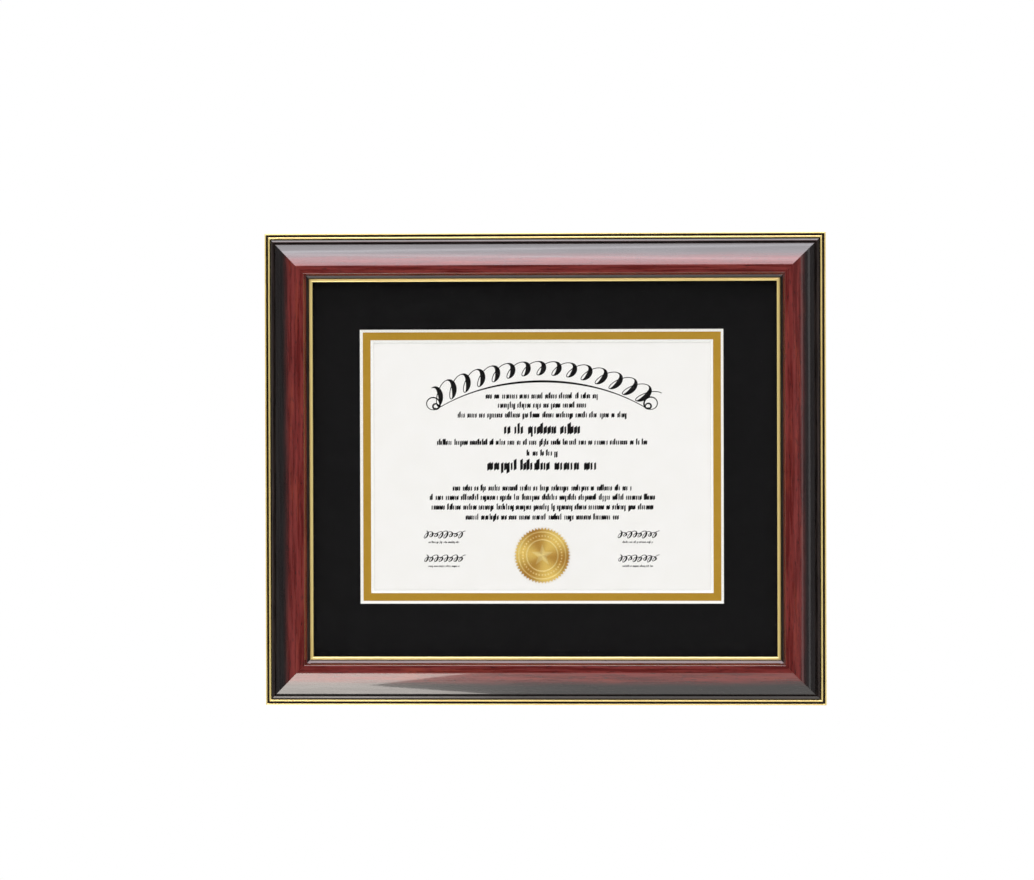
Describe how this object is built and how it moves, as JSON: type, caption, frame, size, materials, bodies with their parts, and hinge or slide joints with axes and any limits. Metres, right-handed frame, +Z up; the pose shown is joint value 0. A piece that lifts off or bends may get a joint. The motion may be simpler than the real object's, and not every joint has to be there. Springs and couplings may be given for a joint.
{
  "type": "diploma frame",
  "caption": "Wall-hung diploma frame: mitred lacquered moulding with gilt beads, glazed double-matted document with a foil seal, back panel held by swivelling turn buttons.",
  "frame": {"origin": "the middle notch of the sawtooth hanger on the back of the top rail, where the wall nail sits", "axes": "+Z up, +X to the right seen from the front, +Y into the wall, so the front faces -Y"},
  "size_m": [0.4408, 0.0263, 0.3702],
  "materials": {
    "lacquered_wood": "gloss",
    "nail_steel": "satin",
    "glazing": "polished",
    "black_mat": "matte",
    "gold_mat": "satin",
    "document_paper": "matte",
    "seal_foil": "gloss",
    "pocket_film": "gloss",
    "foam_board": "matte",
    "hardboard": "matte",
    "button_steel": "satin",
    "screw_steel": "gloss",
    "hanger_steel": "satin",
    "bumper_rubber": "matte"
  },
  "bodies": {
    "frame": {"rail_top": "lacquered_wood", "rail_right": "lacquered_wood", "rail_bottom": "lacquered_wood", "rail_left": "lacquered_wood", "v_nail_top_right_outer": "nail_steel", "v_nail_top_right_inner": "nail_steel", "v_nail_bottom_right_outer": "nail_steel", "v_nail_bottom_right_inner": "nail_steel", "v_nail_bottom_left_outer": "nail_steel", "v_nail_bottom_left_inner": "nail_steel", "v_nail_top_left_outer": "nail_steel", "v_nail_top_left_inner": "nail_steel", "glazing": "glazing", "outer_mat": "black_mat", "inner_mat": "gold_mat", "diploma": "document_paper", "gold_seal": "seal_foil", "document_corner_top_right": "pocket_film", "document_corner_bottom_right": "pocket_film", "document_corner_bottom_left": "pocket_film", "document_corner_top_left": "pocket_film", "backing_board": "foam_board", "back_panel": "hardboard", "turn_screw_top_left": "screw_steel", "turn_screw_top_right": "screw_steel", "turn_screw_right_upper": "screw_steel", "turn_screw_right_lower": "screw_steel", "turn_screw_bottom_right": "screw_steel", "turn_screw_bottom_left": "screw_steel", "turn_screw_left_lower": "screw_steel", "turn_screw_left_upper": "screw_steel", "sawtooth_hanger": "hanger_steel", "hanger_brad_left": "nail_steel", "hanger_brad_right": "nail_steel", "bumper_left": "bumper_rubber", "bumper_right": "bumper_rubber"},
    "button_top_left": {"turn_button_top_left": "button_steel"},
    "button_top_right": {"turn_button_top_right": "button_steel"},
    "button_right_upper": {"turn_button_right_upper": "button_steel"},
    "button_right_lower": {"turn_button_right_lower": "button_steel"},
    "button_bottom_right": {"turn_button_bottom_right": "button_steel"},
    "button_bottom_left": {"turn_button_bottom_left": "button_steel"},
    "button_left_lower": {"turn_button_left_lower": "button_steel"},
    "button_left_upper": {"turn_button_left_upper": "button_steel"}
  },
  "joints": [
    {"name": "swivel_top_left", "type": "hinge", "parent": "frame", "child": "button_top_left", "pos_m": [-0.11, -0.00205, -0.0037], "axis": [0, 1, 0], "continuous": true},
    {"name": "swivel_top_right", "type": "hinge", "parent": "frame", "child": "button_top_right", "pos_m": [0.11, -0.00205, -0.0037], "axis": [0, 1, 0], "continuous": true},
    {"name": "swivel_right_upper", "type": "hinge", "parent": "frame", "child": "button_right_upper", "pos_m": [0.1968, -0.00205, -0.0852], "axis": [0, 1, 0], "continuous": true},
    {"name": "swivel_right_lower", "type": "hinge", "parent": "frame", "child": "button_right_lower", "pos_m": [0.1968, -0.00205, -0.2452], "axis": [0, 1, 0], "continuous": true},
    {"name": "swivel_bottom_right", "type": "hinge", "parent": "frame", "child": "button_bottom_right", "pos_m": [0.11, -0.00205, -0.3267], "axis": [0, 1, 0], "continuous": true},
    {"name": "swivel_bottom_left", "type": "hinge", "parent": "frame", "child": "button_bottom_left", "pos_m": [-0.11, -0.00205, -0.3267], "axis": [0, 1, 0], "continuous": true},
    {"name": "swivel_left_lower", "type": "hinge", "parent": "frame", "child": "button_left_lower", "pos_m": [-0.1968, -0.00205, -0.2452], "axis": [0, 1, 0], "continuous": true},
    {"name": "swivel_left_upper", "type": "hinge", "parent": "frame", "child": "button_left_upper", "pos_m": [-0.1968, -0.00205, -0.0852], "axis": [0, 1, 0], "continuous": true}
  ]
}
